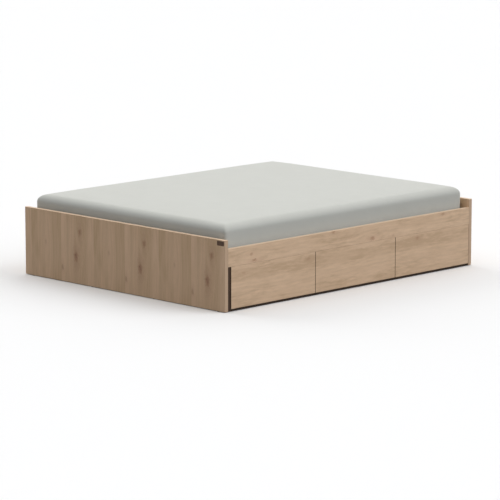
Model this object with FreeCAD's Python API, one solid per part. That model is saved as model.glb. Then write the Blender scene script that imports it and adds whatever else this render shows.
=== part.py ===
import FreeCAD, Part
import math
import os

os.makedirs("parts", exist_ok=True)

Vector = FreeCAD.Vector

# Frame of the part: floor at z = 0, origin under the middle of the bed,
# foot end at -Y, head end at +Y, drawers open along +X. All lengths in millimetres.

# Outer boards
bed_length = 2050.0
bed_width = 1650.0
end_height = 399.0
side_height = 349.0
board = 25.0
rail_height = 100.0
edge_radius = 1.2
glide_height = 3.0
glide_radius = 11.0
glide_inset = 60.0
end_glide_count = 4
side_glide_count = 3

# Blank badge plate let into the foot panel
badge_width = 54.0
badge_height = 26.0
badge_thickness = 1.0
badge_corner = 3.0
badge_side_inset = 6.0
badge_top_inset = 6.0
badge_play = 0.1

# Drawer fronts
drawer_count = 3
front_thickness = 19.0
front_base_gap = 2.0
front_gap = 3.0
front_end_gap = 2.0
front_top_gap = 0.6
head_front_cut = 21.0

# Drawer bay
cheek_thickness = 22.0
recess_depth = 3.0
divider_thickness = 16.0
divider_setback = 6.0
divider_rail_play = 1.0
base_rail_height = 10.0
base_rail_width = 80.0
bay_back_thickness = 16.0
bay_back_space = 40.0
bay_hanger_space = 26.6

# Drawer boxes
box_side = 12.0
box_lift = 10.0
box_top_gap = 40.4
bottom_thickness = 6.0
bottom_lift = 10.0
groove_depth = 6.0
groove_play = 0.2

# Runners: outer, middle and inner steel channels
runner_height = 45.0
runner_width = 12.7
runner_wall = 1.2
runner_play = 0.4
runner_web_space = 2.4
runner_lift = 65.0
runner_end_gap = 6.0
runner_rear_gap = 54.0

# Slat angles, slats and tapes
angle_lift = 3.0
angle_height = 40.0
angle_width = 30.0
angle_wall = 2.5
slat_count = 15
slat_width = 70.0
slat_thickness = 12.0
slat_end_play = 4.0
slat_middle_gap = 4.0
slat_edge_radius = 3.0
slat_margin = 40.0
tape_width = 20.0
tape_thickness = 1.2
tape_place_shares = (0.25, 0.75)

# Middle support
beam_width = 40.0
beam_height = 60.0
hanger_wall = 3.0
hanger_depth = 35.0
hanger_side_height = 40.0
hanger_ear = 40.0
hanger_play = 0.4
leg_place_share = 0.35
leg_radius = 20.0
leg_plate_length = 90.0
leg_plate = 3.0
leg_floor_gap = 20.0
foot_radius = 22.0
foot_height = 10.0
stem_radius = 5.0
stem_reach = 30.0
stem_play = 0.1

# Corner brackets
bracket_leg = 40.0
bracket_wall = 3.0
bracket_lift = 6.0
bracket_top_gap = 7.0

# Screws: head radius, head height, shank radius and length of each kind
wood_screw = (4.0, 2.4, 2.0, 18.0)
runner_screw = (3.5, 2.0, 1.7, 8.0)
carcass_screw = (5.0, 3.0, 3.0, 48.0)
box_screw = (3.5, 2.0, 1.8, 40.0)
bore_play = 0.05
bore_tip = 1.0
screw_edge = 8.0
angle_screw_count = 6
runner_screw_count = 3
runner_screw_inset = 60.0
runner_screw_shift = 20.0
carcass_screw_count = 3
box_screw_drops = (25.0, 75.0)

# Cam locks that pull the drawer sides to the fronts
cam_radius = 7.5
cam_depth = 9.5
cam_setback = 24.0
cam_bolt_radius = 2.5
cam_bolt_reach = 11.0
cam_place_shares = (0.2, 0.82)

# Mattress
mattress_clearance = 14.5
mattress_seat_play = 0.3
mattress_thickness = 205.0
mattress_crown = 4.0
mattress_draw_in = 4.0
mattress_corner = 26.0
mattress_flat_corner = 14.0
mattress_top_roll = 43.0
mattress_bottom_roll = 22.0
roll_steps = 4
crown_inset_shares = (0.14, 0.32, 0.6)
crown_rise_shares = (0.45, 0.8, 1.0)

# Places worked out from the sizes above
x_out = bed_width / 2
x_in = x_out - board
y_out = bed_length / 2
y_in = y_out - board
rail_bottom = side_height - rail_height
front_top = rail_bottom - front_top_gap
front_back = x_out - front_thickness
front_room = 2 * y_in - cheek_thickness - 2 * front_end_gap - (drawer_count - 1) * front_gap
front_width = (front_room + head_front_cut) / drawer_count
angle_bottom = rail_bottom + angle_lift
slat_bottom = angle_bottom + angle_wall
slat_top = slat_bottom + slat_thickness
divider_front = front_back - divider_setback
divider_top_front = min(divider_front, x_in - divider_rail_play)
hanger_reach = beam_width / 2 + hanger_play + hanger_wall + hanger_ear
bay_back_rear = hanger_reach + bay_hanger_space
bay_back_front = bay_back_rear + bay_back_thickness
box_rear = bay_back_front + bay_back_space
base_rail_top = glide_height + base_rail_height
front_bottom = base_rail_top + front_base_gap
box_bottom = front_bottom + box_lift
box_top = front_top - box_top_gap
box_height = box_top - box_bottom
panel_bottom = box_bottom + bottom_lift
panel_top = panel_bottom + bottom_thickness
runner_middle_height = box_bottom + runner_lift
runner_front = front_back - runner_end_gap
runner_rear = box_rear + runner_rear_gap
runner_length = runner_front - runner_rear
bracket_bottom = angle_bottom + angle_height + bracket_lift
bracket_top = min(side_height, end_height) - bracket_top_gap
beam_bottom = slat_bottom - beam_height
front_spans = []
front_start = -y_in + cheek_thickness + front_end_gap
for number in range(drawer_count):
    last = number == drawer_count - 1
    width = front_width - head_front_cut if last else front_width
    front_spans.append((front_start, front_start + width))
    front_start = front_start + width + front_gap
divider_middles = [(a[1] + b[0]) / 2 for a, b in zip(front_spans, front_spans[1:])]
bay_lefts = [-y_in + cheek_thickness] + [y + divider_thickness / 2 for y in divider_middles]
bay_rights = [y - divider_thickness / 2 for y in divider_middles] + [y_in]

pieces = {}
bores = {}


def block(x, y, z):
    """A box between three pairs of low and high places."""
    return Part.makeBox(x[1] - x[0], y[1] - y[0], z[1] - z[0], Vector(x[0], y[0], z[0]))


def rod(start, direction, radius, length):
    """A round bar from start along direction."""
    return Part.makeCylinder(radius, length, start, direction)


def prism(points, direction):
    """A straight solid on an outline of points, as long as direction."""
    outline = Part.makePolygon(points + points[:1])
    return Part.Face(outline).extrude(direction)


def eased(solid, radius):
    """A board with all its edges rounded a little."""
    return solid.makeFillet(radius, solid.Edges)


def add(name, *solids):
    """Put solids into a named piece."""
    pieces.setdefault(name, []).extend(solids)


def drill(names, cutter):
    """Note a cut that each named piece gets when it is finished."""
    for name in names:
        bores.setdefault(name, []).append(cutter)


def screw(name, hosts, seat, direction, kind):
    """A screw whose head sits at seat, with its hole in the hosts."""
    head_radius, head_height, shank_radius, length = kind
    head = rod(seat, direction * -1, head_radius, head_height)
    shank = rod(seat, direction, shank_radius, length)
    add(name, head.fuse(shank).removeSplitter())
    drill(hosts, rod(seat, direction, shank_radius + bore_play, length + bore_tip))


def spread(low, high, count):
    """Even places from low to high."""
    step = (high - low) / (count - 1)
    return [low + step * number for number in range(count)]


def glides(places):
    """Round plastic glides under a board."""
    for x, y in places:
        add("floor_glides", rod(Vector(x, y, 0), Vector(0, 0, 1), glide_radius, glide_height))


def make_outer_boards():
    """Foot and head panels, the side rail over the drawers and the closed far side."""
    standing = (glide_height, end_height)
    add("foot_panel", eased(block((-x_out, x_out), (-y_out, -y_in), standing), edge_radius))
    add("head_panel", eased(block((-x_out, x_out), (y_in, y_out), standing), edge_radius))
    add("side_rail", eased(block((x_in, x_out), (-y_in, y_in), (rail_bottom, side_height)), edge_radius))
    far_side = block((-x_out, -x_in), (-y_in, y_in), (glide_height, side_height))
    add("side_panel", eased(far_side, edge_radius))
    end_middle = y_out - board / 2
    side_middle = x_out - board / 2
    for x in spread(-x_out + glide_inset, x_out - glide_inset, end_glide_count):
        glides([(x, -end_middle), (x, end_middle)])
    glides([(-side_middle, y) for y in spread(-y_in + glide_inset, y_in - glide_inset, side_glide_count)])


def make_badge():
    """A blank plate flush in the outer face of the foot panel."""
    x = (x_out - badge_side_inset - badge_width, x_out - badge_side_inset)
    z = (end_height - badge_top_inset - badge_height, end_height - badge_top_inset)
    y = (-y_out, -y_out + badge_thickness)
    plate = block(x, y, z)
    uprights = [edge for edge in plate.Edges if edge.BoundBox.YLength > badge_thickness / 2]
    add("badge_plate", plate.makeFillet(badge_corner, uprights))
    pocket = block((x[0] - badge_play, x[1] + badge_play), y, (z[0] - badge_play, z[1] + badge_play))
    corners = [edge for edge in pocket.Edges if edge.BoundBox.YLength > badge_thickness / 2]
    drill(["foot_panel"], pocket.makeFillet(badge_corner + badge_play, corners))


def make_drawer_bay():
    """Dark cheek and base rail, the dividers between the drawers and the bay's back board."""
    dark_front = x_out - recess_depth
    cheek_y = (-y_in, -y_in + cheek_thickness)
    cheek = block((bay_back_front, dark_front), cheek_y, (glide_height, rail_bottom))
    add("foot_cheek", cheek)
    base_rear = dark_front - base_rail_width
    base_y = (-y_in + cheek_thickness, y_in)
    add("base_rail", block((base_rear, dark_front), base_y, (glide_height, base_rail_top)))
    add("bay_back", block((bay_back_rear, bay_back_front), (-y_in, y_in), (glide_height, angle_bottom)))
    for number, middle in enumerate(divider_middles):
        low = middle - divider_thickness / 2
        outline = [
            Vector(bay_back_front, low, glide_height),
            Vector(base_rear, low, glide_height),
            Vector(base_rear, low, base_rail_top),
            Vector(divider_front, low, base_rail_top),
            Vector(divider_front, low, rail_bottom - divider_rail_play),
            Vector(divider_top_front, low, rail_bottom - divider_rail_play),
            Vector(divider_top_front, low, angle_bottom),
            Vector(bay_back_front, low, angle_bottom),
        ]
        name = f"divider_{number + 1}"
        add(name, prism(outline, Vector(0, divider_thickness, 0)))
        glides([(bay_back_front + glide_inset, middle), (base_rear - glide_inset, middle)])
        for z in spread(glide_height + glide_inset, angle_bottom - glide_inset, carcass_screw_count):
            seat = Vector(bay_back_rear, middle, z)
            screw("carcass_screws", ["bay_back", name], seat, Vector(1, 0, 0), carcass_screw)
    cheek_middle = -y_in + cheek_thickness / 2
    glides([(x, cheek_middle) for x in (bay_back_front + glide_inset, dark_front - glide_inset)])
    back_middle = bay_back_rear + bay_back_thickness / 2
    glides([(back_middle, y) for y in spread(-y_in + glide_inset, y_in - glide_inset, end_glide_count)])
    base_middle = dark_front - base_rail_width / 2
    for left, right in zip(bay_lefts, bay_rights):
        glides([(base_middle, y) for y in (left + glide_inset, right - glide_inset)])


def make_slat_angles():
    """Steel angles on the rail and on the closed side that carry the slat ends."""
    for side, name, host in ((1, "slat_angle_right", "side_rail"), (-1, "slat_angle_left", "side_panel")):
        wall = side * (x_in - angle_wall)
        outline = [
            Vector(side * x_in, -y_in, angle_bottom),
            Vector(side * (x_in - angle_width), -y_in, angle_bottom),
            Vector(side * (x_in - angle_width), -y_in, slat_bottom),
            Vector(wall, -y_in, slat_bottom),
            Vector(wall, -y_in, angle_bottom + angle_height),
            Vector(side * x_in, -y_in, angle_bottom + angle_height),
        ]
        add(name, prism(outline, Vector(0, 2 * y_in, 0)))
        screw_height = (slat_top + angle_bottom + angle_height) / 2
        for y in spread(-y_in + glide_inset, y_in - glide_inset, angle_screw_count):
            seat = Vector(wall, y, screw_height)
            screw("angle_screws", [name, host], seat, Vector(side, 0, 0), wood_screw)


def make_slats():
    """Two rolls of slats that meet on the middle beam, each held by two tapes."""
    reach = x_in - angle_wall - slat_end_play
    slat_y = spread(-y_in + slat_margin + slat_width / 2, y_in - slat_margin - slat_width / 2, slat_count)
    for side, name in ((1, "slats_right"), (-1, "slats_left")):
        x = sorted((side * slat_middle_gap / 2, side * reach))
        for middle in slat_y:
            slat = block(x, (middle - slat_width / 2, middle + slat_width / 2), (slat_bottom, slat_top))
            long_edges = [edge for edge in slat.Edges if edge.BoundBox.XLength > slat_width]
            add(name, slat.makeFillet(slat_edge_radius, long_edges))
        for share in tape_place_shares:
            tape_x = side * share * reach
            tape_y = (slat_y[0] - slat_width / 2, slat_y[-1] + slat_width / 2)
            tape_z = (slat_bottom - tape_thickness, slat_bottom)
            add("slat_tapes", block((tape_x - tape_width / 2, tape_x + tape_width / 2), tape_y, tape_z))


def make_beam():
    """Timber beam under the joint of the two slat rolls."""
    half = beam_width / 2
    beam_end = y_in - hanger_wall - hanger_play
    add("centre_beam", block((-half, half), (-beam_end, beam_end), (beam_bottom, slat_bottom)))


def make_hangers():
    """Steel shoes with two ears, screwed to the end panels, that hold the beam's ends."""
    inner = beam_width / 2 + hanger_play
    outer = inner + hanger_wall
    height = (beam_bottom - hanger_wall, beam_bottom + hanger_side_height)
    for side, panel in ((-1, "foot_panel"), (1, "head_panel")):
        panel_face = side * y_in
        plate_face = side * (y_in - hanger_wall)
        mouth = side * (y_in - hanger_depth)
        shoe = block((-outer, outer), sorted((panel_face, mouth)), height)
        room = block((-inner, inner), sorted((plate_face, mouth)), (beam_bottom, height[1]))
        ears_x = (-outer - hanger_ear, outer + hanger_ear)
        ears = block(ears_x, sorted((panel_face, plate_face)), height)
        add("beam_hangers", shoe.cut(room).fuse(ears).removeSplitter())
        for ear_side in (-1, 1):
            ear_middle = ear_side * (outer + hanger_ear / 2)
            for z in (height[0] + screw_edge, height[1] - screw_edge):
                seat = Vector(ear_middle, plate_face, z)
                screw("bracket_screws", ["beam_hangers", panel], seat, Vector(0, side, 0), wood_screw)


def make_legs():
    """Two round legs under the beam, each with a top plate and a foot on a screw stem."""
    up = Vector(0, 0, 1)
    half = beam_width / 2
    plate_bottom = beam_bottom - leg_plate
    stem_length = leg_floor_gap - foot_height + stem_reach
    for side in (-1, 1):
        y = side * leg_place_share * y_in
        plate_y = (y - leg_plate_length / 2, y + leg_plate_length / 2)
        plate = block((-half, half), plate_y, (plate_bottom, beam_bottom))
        tube = rod(Vector(0, y, leg_floor_gap), up, leg_radius, plate_bottom - leg_floor_gap)
        stem_start = Vector(0, y, foot_height)
        stem = rod(stem_start, up, stem_radius, stem_length)
        socket = rod(stem_start, up, stem_radius + stem_play, stem_length + stem_play)
        pad = rod(Vector(0, y, 0), up, foot_radius, foot_height)
        add("centre_legs", plate.fuse(tube).cut(socket).removeSplitter())
        add("leg_feet", pad.fuse(stem).removeSplitter())
        for end in (-1, 1):
            screw_y = y + end * (leg_plate_length / 2 + leg_radius) / 2
            seat = Vector(0, screw_y, plate_bottom)
            screw("bracket_screws", ["centre_legs", "centre_beam"], seat, up, wood_screw)


def make_corner_brackets():
    """Steel angles screwed into the four inner corners above the slat angles."""
    for x_side, side_host in ((1, "side_rail"), (-1, "side_panel")):
        for y_side, end_host in ((-1, "foot_panel"), (1, "head_panel")):
            x_corner = x_side * x_in
            y_corner = y_side * y_in
            x_leg = x_corner - x_side * bracket_leg
            y_leg = y_corner - y_side * bracket_leg
            x_wall = x_corner - x_side * bracket_wall
            y_wall = y_corner - y_side * bracket_wall
            outline = [
                Vector(x_corner, y_corner, bracket_bottom),
                Vector(x_leg, y_corner, bracket_bottom),
                Vector(x_leg, y_wall, bracket_bottom),
                Vector(x_wall, y_wall, bracket_bottom),
                Vector(x_wall, y_leg, bracket_bottom),
                Vector(x_corner, y_leg, bracket_bottom),
            ]
            add("corner_brackets", prism(outline, Vector(0, 0, bracket_top - bracket_bottom)))
            along = bracket_wall + (bracket_leg - bracket_wall) / 2
            for height in (bracket_bottom + screw_edge, bracket_top - screw_edge):
                side_seat = Vector(x_wall, y_corner - y_side * along, height)
                end_seat = Vector(x_corner - x_side * along, y_wall, height)
                side_hosts = ["corner_brackets", side_host]
                end_hosts = ["corner_brackets", end_host]
                screw("bracket_screws", side_hosts, side_seat, Vector(x_side, 0, 0), wood_screw)
                screw("bracket_screws", end_hosts, end_seat, Vector(0, y_side, 0), wood_screw)


def channel(face, side, back, tip, half_height):
    """A runner channel along X, from its back to the tips of its flanges, out from the bay face."""
    web = back + math.copysign(runner_wall, tip - back)
    inner_half = half_height - runner_wall
    section = [
        (back, -half_height),
        (tip, -half_height),
        (tip, -inner_half),
        (web, -inner_half),
        (web, inner_half),
        (tip, inner_half),
        (tip, half_height),
        (back, half_height),
    ]
    outline = [Vector(runner_rear, face + side * out, runner_middle_height + up) for out, up in section]
    return prism(outline, Vector(runner_length, 0, 0))


def make_runners(number, left, right):
    """Three nested channels on each side of a drawer, and the screws of the fixed ones."""
    drawer = f"drawer_{number}"
    outer_half = runner_height / 2
    middle_half = outer_half - runner_wall - runner_play
    inner_half = middle_half - runner_wall - runner_play
    outer_tip = runner_width - runner_wall
    middle_back = runner_wall + runner_web_space
    inner_tip = middle_back + runner_wall + runner_play
    hosts = {left: "foot_cheek", right: "head_panel"}
    if number > 1:
        hosts[left] = f"divider_{number - 1}"
    if number < drawer_count:
        hosts[right] = f"divider_{number}"
    for face, side, box_host in ((left, 1, "side_left"), (right, -1, "side_right")):
        outer = channel(face, side, 0, outer_tip, outer_half)
        middle = channel(face, side, middle_back, outer_tip - runner_play, middle_half)
        inner = channel(face, side, runner_width, inner_tip, inner_half)
        add(f"{drawer}_runner_outer", outer)
        add(f"{drawer}_runner_middle", middle)
        add(f"{drawer}_runner_inner", inner)
        rear_screw = runner_rear + runner_screw_inset
        front_screw = runner_front - runner_screw_inset
        for place in spread(rear_screw, front_screw, runner_screw_count):
            x = place + side * runner_screw_shift
            fixed_seat = Vector(x, face + side * runner_wall, runner_middle_height)
            fixed_hosts = [f"{drawer}_runner_outer", hosts[face]]
            screw("runner_screws", fixed_hosts, fixed_seat, Vector(0, -side, 0), runner_screw)
            moving_seat = Vector(x, face + side * outer_tip, runner_middle_height)
            moving_hosts = [f"{drawer}_runner_inner", f"{drawer}_{box_host}"]
            screw(f"{drawer}_screws", moving_hosts, moving_seat, Vector(0, side, 0), runner_screw)


def make_drawer(number, left, right, front_span):
    """A drawer box with its bottom in grooves, its front and its fittings."""
    drawer = f"drawer_{number}"
    out_left = left + runner_width
    out_right = right - runner_width
    in_left = out_left + box_side
    in_right = out_right - box_side
    depth = (box_rear, front_back)
    height = (box_bottom, box_top)
    front = block((front_back, x_out), front_span, (front_bottom, front_top))
    add(f"{drawer}_front", eased(front, edge_radius))
    add(f"{drawer}_side_left", block(depth, (out_left, in_left), height))
    add(f"{drawer}_side_right", block(depth, (in_right, out_right), height))
    add(f"{drawer}_back", block((box_rear, box_rear + box_side), (in_left, in_right), (panel_top, box_top)))
    tongue = groove_depth - groove_play
    bottom_x = (box_rear, front_back + tongue)
    bottom_y = (in_left - tongue, in_right + tongue)
    add(f"{drawer}_bottom", block(bottom_x, bottom_y, (panel_bottom, panel_top)))
    groove_y = (in_left - groove_depth, in_right + groove_depth)
    groove_z = (panel_bottom - groove_play, panel_top)
    groove = block((box_rear, front_back + groove_depth), groove_y, groove_z)
    drill([f"{drawer}_front", f"{drawer}_side_left", f"{drawer}_side_right"], groove)
    sides = ((out_left, in_left, 1, "side_left"), (out_right, in_right, -1, "side_right"))
    for out_face, in_face, inward, side_name in sides:
        side = f"{drawer}_{side_name}"
        for drop in box_screw_drops:
            seat = Vector(box_rear + box_side / 2, out_face, box_top - drop)
            screw(f"{drawer}_screws", [side, f"{drawer}_back"], seat, Vector(0, inward, 0), box_screw)
        for share in cam_place_shares:
            z = box_bottom + share * box_height
            cam_x = front_back - cam_setback
            outward = Vector(0, -inward, 0)
            add(f"{drawer}_cam_locks", rod(Vector(cam_x, in_face, z), outward, cam_radius, cam_depth))
            drill([side], rod(Vector(cam_x, in_face, z), outward, cam_radius + bore_play, cam_depth))
            bolt_start = Vector(cam_x + cam_radius + bore_play, (out_face + in_face) / 2, z)
            bolt_length = cam_setback - cam_radius + cam_bolt_reach
            ahead = Vector(1, 0, 0)
            add(f"{drawer}_cam_locks", rod(bolt_start, ahead, cam_bolt_radius, bolt_length))
            bolt_bore = rod(bolt_start, ahead, cam_bolt_radius + bore_play, bolt_length + bore_tip)
            drill([side, f"{drawer}_front"], bolt_bore)


def ring(height, inset, corner):
    """A rounded rectangle, inset from the mattress's largest outline."""
    half_x = x_in - mattress_clearance - inset
    half_y = y_in - mattress_clearance - inset
    slant = corner * (1 - math.sqrt(0.5))
    z = slat_top + mattress_seat_play + height
    edges = []
    turns = ((1, -1), (1, 1), (-1, 1), (-1, -1))
    points = []
    for x_side, y_side in turns:
        on_x = Vector(x_side * half_x, y_side * (half_y - corner), z)
        middle = Vector(x_side * (half_x - slant), y_side * (half_y - slant), z)
        on_y = Vector(x_side * (half_x - corner), y_side * half_y, z)
        corner_points = (on_y, middle, on_x) if x_side * y_side < 0 else (on_x, middle, on_y)
        points.append(corner_points)
    for this, following in zip(points, points[1:] + points[:1]):
        edges.append(Part.Arc(*this).toShape())
        edges.append(Part.LineSegment(this[2], following[0]).toShape())
    return Part.Wire(edges)


def make_mattress():
    """A closed soft block with rolled edges, sides drawn in at half height and a crowned top."""
    sections = []
    for step in range(roll_steps + 1):
        angle = math.radians(90) * step / roll_steps
        rise = mattress_bottom_roll * (1 - math.cos(angle))
        inset = mattress_bottom_roll * (1 - math.sin(angle))
        sections.append((rise, inset))
    sections.append((mattress_thickness / 2, mattress_draw_in))
    for step in range(roll_steps + 1):
        angle = math.radians(90) * step / roll_steps
        rise = mattress_thickness - mattress_top_roll * (1 - math.sin(angle))
        inset = mattress_top_roll * (1 - math.cos(angle))
        sections.append((rise, inset))
    half_width = x_in - mattress_clearance
    for inset_share, rise_share in zip(crown_inset_shares, crown_rise_shares):
        inset = mattress_top_roll + inset_share * (half_width - mattress_top_roll)
        sections.append((mattress_thickness + rise_share * mattress_crown, inset))
    rings = []
    for rise, inset in sections:
        rolled_share = min(inset / mattress_top_roll, 1)
        corner = mattress_corner + (mattress_flat_corner - mattress_corner) * rolled_share
        rings.append(ring(rise, inset, corner))
    add("mattress", Part.makeLoft(rings, True, True))


def finish_pieces():
    """Cut the holes and grooves and write one file for each piece."""
    for name, solids in pieces.items():
        cutters = bores.get(name, [])
        finished = []
        for solid in solids:
            near = [cutter for cutter in cutters if cutter.BoundBox.intersect(solid.BoundBox)]
            finished.append(solid.cut(near) if near else solid)
        shape = finished[0] if len(finished) == 1 else Part.makeCompound(finished)
        shape.exportStep(f"parts/{name}.step")
        print(name, len(shape.Solids), shape.isValid(), round(shape.Volume))


make_outer_boards()
make_badge()
make_drawer_bay()
make_slat_angles()
make_slats()
make_beam()
make_hangers()
make_legs()
make_corner_brackets()
for index, (bay_left, bay_right) in enumerate(zip(bay_lefts, bay_rights)):
    make_runners(index + 1, bay_left, bay_right)
    make_drawer(index + 1, bay_left, bay_right, front_spans[index])
make_mattress()
finish_pieces()
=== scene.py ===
import math
from functools import partialmethod
from itertools import product

import bmesh
import bpy
import numpy as np
from bpy.props import FloatProperty, FloatVectorProperty, IntProperty, PointerProperty
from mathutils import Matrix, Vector


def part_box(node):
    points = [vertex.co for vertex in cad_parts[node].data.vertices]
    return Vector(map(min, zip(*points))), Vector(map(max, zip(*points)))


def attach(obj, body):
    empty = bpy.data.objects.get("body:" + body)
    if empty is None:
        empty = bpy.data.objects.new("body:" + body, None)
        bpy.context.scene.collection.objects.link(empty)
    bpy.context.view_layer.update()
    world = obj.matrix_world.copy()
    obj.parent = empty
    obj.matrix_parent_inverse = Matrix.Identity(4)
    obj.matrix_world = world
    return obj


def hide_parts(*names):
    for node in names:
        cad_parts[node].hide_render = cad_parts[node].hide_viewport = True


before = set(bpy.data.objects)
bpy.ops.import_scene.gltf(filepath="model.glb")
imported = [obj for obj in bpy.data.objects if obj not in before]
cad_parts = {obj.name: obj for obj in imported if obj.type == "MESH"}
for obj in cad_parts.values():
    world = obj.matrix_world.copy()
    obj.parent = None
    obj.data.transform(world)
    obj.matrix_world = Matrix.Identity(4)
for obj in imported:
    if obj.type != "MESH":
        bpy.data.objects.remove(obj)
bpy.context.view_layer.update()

bl_info = {
    "name": "Storage bed",
    "version": (1, 0, 0),
    "blender": (4, 5, 0),
    "location": "View3D > Sidebar > Bed",
    "description": "Dresses a double bed with three drawers: boards, drawer boxes, slats, fittings, mattress",
    "category": "Object",
}

DRAWERS = ("drawer_1", "drawer_2", "drawer_3")
X, Y, Z = range(3)

# The Mix node's sockets for its two inputs and its result, by the kind of data.
MIX_SOCKETS = {"VECTOR": (4, 5, 1), "RGBA": (6, 7, 2)}

# Defaults that also tell the kind of a socket.
PLACE = (0.0, 0.0, 0.0)
EVEN = (1.0, 1.0, 1.0)
WHITE = (1.0, 1.0, 1.0, 1.0)
SHAPE = None

# Tone of the staves in the printed oak sheet, from 0 for the lightest to 1 for the darkest.
# Upright boards: the place is a share of the sheet's repeat.
UPRIGHT_STAVES = (
    (0.00, 0.20), (0.06, 0.28), (0.10, 0.55), (0.16, 0.35), (0.21, 0.50), (0.25, 0.78),
    (0.37, 0.85), (0.40, 0.50), (0.44, 0.18), (0.50, 0.25), (0.53, 0.80), (0.59, 0.75),
    (0.63, 0.40), (0.72, 0.52), (0.77, 0.30), (0.82, 0.45), (0.87, 0.85), (0.995, 0.88),
)
# Lying boards: the place is a share of the sheet's height.
LYING_STAVES = (
    (0.06, 0.62), (0.15, 0.42), (0.21, 0.32), (0.24, 0.52), (0.30, 0.52), (0.33, 0.36),
    (0.39, 0.38), (0.43, 0.80), (0.56, 0.84), (0.59, 0.42), (0.63, 0.50), (0.66, 0.26),
    (0.71, 0.24), (0.735, 0.52), (0.80, 0.54), (0.82, 0.34), (0.86, 0.40),
)

# Knots in the printed sheet, in metres: place across the grain, place along it and radius, then strength.
UPRIGHT_KNOTS = (
    (0.160, 0.303, 0.018, 0.72), (0.131, 0.158, 0.024, 0.88), (0.012, 0.082, 0.016, 0.45),
    (0.405, 0.215, 0.014, 0.3),
)
LYING_KNOTS = (
    (0.300, -0.820, 0.012, 0.45), (0.268, -0.797, 0.017, 0.6), (0.205, -0.880, 0.014, 0.35),
    (0.219, -0.369, 0.014, 0.4), (0.343, -0.167, 0.013, 0.5), (0.268, 0.158, 0.016, 0.55),
    (0.224, 0.545, 0.016, 0.5), (0.338, 0.768, 0.013, 0.5), (0.262, 0.335, 0.012, 0.3),
)

# Tones, heights, roughness and gloss in the finishes, where 1 is full.
MIDDLE = 0.5
NOISE_ROUGHNESS = 0.55
KNOT_PULL = 0.72
KNOT_HALO = 0.42
FLECKS_BETWEEN_PATCHES = 0.4
PATCH_TONE = 0.16
RING_TONE = 0.05
PORE_TONE = 0.16
PORE_HEIGHT = -0.7
WOOD_ROUGHNESS = 0.52
WOOD_GLOSS = 0.15
BOARD_GLOSS = 0.35
CLOTH_GLOSS = 0.2
THREAD_HEIGHT = 0.35
THREAD_TONE = 0.22
# Spacing of the growth rings in plain wood, in metres.
PLAIN_RING = 0.012
# Linen threads: counts of the noise per metre.
LINEN_ALONG = 26.0
LINEN_ACROSS = 760.0
# How far a face has to look along an axis before it takes the edge's colour, and before it takes all of it.
EDGE_TURN = (0.6, 0.8)
# The ends of the lying boards, which take a dark colour as painted shade in the gaps between the drawer
# fronts.
LYING_END_TURN = (0.6, 0.85)

# Shapes of the fittings, as shares of their radius and height.
HEAD_SHOULDER = 0.94
HEAD_CROWN = 0.62
HEAD_SKIRT = 0.45
TIP_RADIUS = 0.3
TIP_HEIGHT = 0.12
CAM_CROSS = 0.35
# Steps of a cam bolt: the radius, and the heights between which it stands.
BOLT_STEPS = ((1.0, -1.0, -0.44), (0.62, -0.45, -0.09), (0.96, -0.1, 0.0))
NAIL_HOLE = 0.26
NAIL_DEPTH = 0.4
SMALL_SIDES = 12
WIRE_SIDES = 8
# Points farther out than this share of a screw's largest radius belong to its head.
HEAD_RIM = 0.9
# Points of one face, and points of one corner, lie nearer together than this, in metres.
SAME_FACE = 1e-5
SAME_CORNER = 1e-6
# Decimals of a metre that the slats' edges are rounded to where a staple goes in.
STAPLE_DIGITS = 5

# A tape between two slats: shares of the gap and of the sag.
TAPE_SAG = ((0.25, 0.75), (0.5, 1.0), (0.75, 0.75))

# Powers that say how late the waist and the crown of the mattress fade towards its corners.
WAIST_FADE = 8
CROWN_FADE = 4

# Cloth of the mattress cover while it swells.
COVER_CLOTH = {
    "quality": 6,
    "mass": 0.4,
    "tension_stiffness": 40.0,
    "compression_stiffness": 40.0,
    "shear_stiffness": 20.0,
    "bending_stiffness": 4.0,
    "use_pressure": True,
}

# Camera: the width of its sensor in millimetres, and how far it sees in metres.
SENSOR_WIDTH = 36.0
FARTHEST_SEEN = 400.0


# Settings


def setting(kind, lead="", **fixed):
    """A function that gives one kind of setting a name, a description and a default."""

    def make(name, description, default, **more):
        return kind(name=name, description=lead + description, default=default, **fixed, **more)

    return make


colour = setting(FloatVectorProperty, "Colour of the ", subtype="COLOR", size=3, min=0.0, max=1.0)
direction = setting(FloatVectorProperty, subtype="XYZ")
point = setting(FloatVectorProperty, subtype="XYZ", unit="LENGTH")
length = setting(FloatProperty, unit="LENGTH", precision=4)
angle = setting(FloatProperty, subtype="ANGLE")
share = setting(FloatProperty, subtype="FACTOR", min=0.0, max=1.0)
amount = setting(FloatProperty, precision=3)
count = setting(IntProperty)


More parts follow.
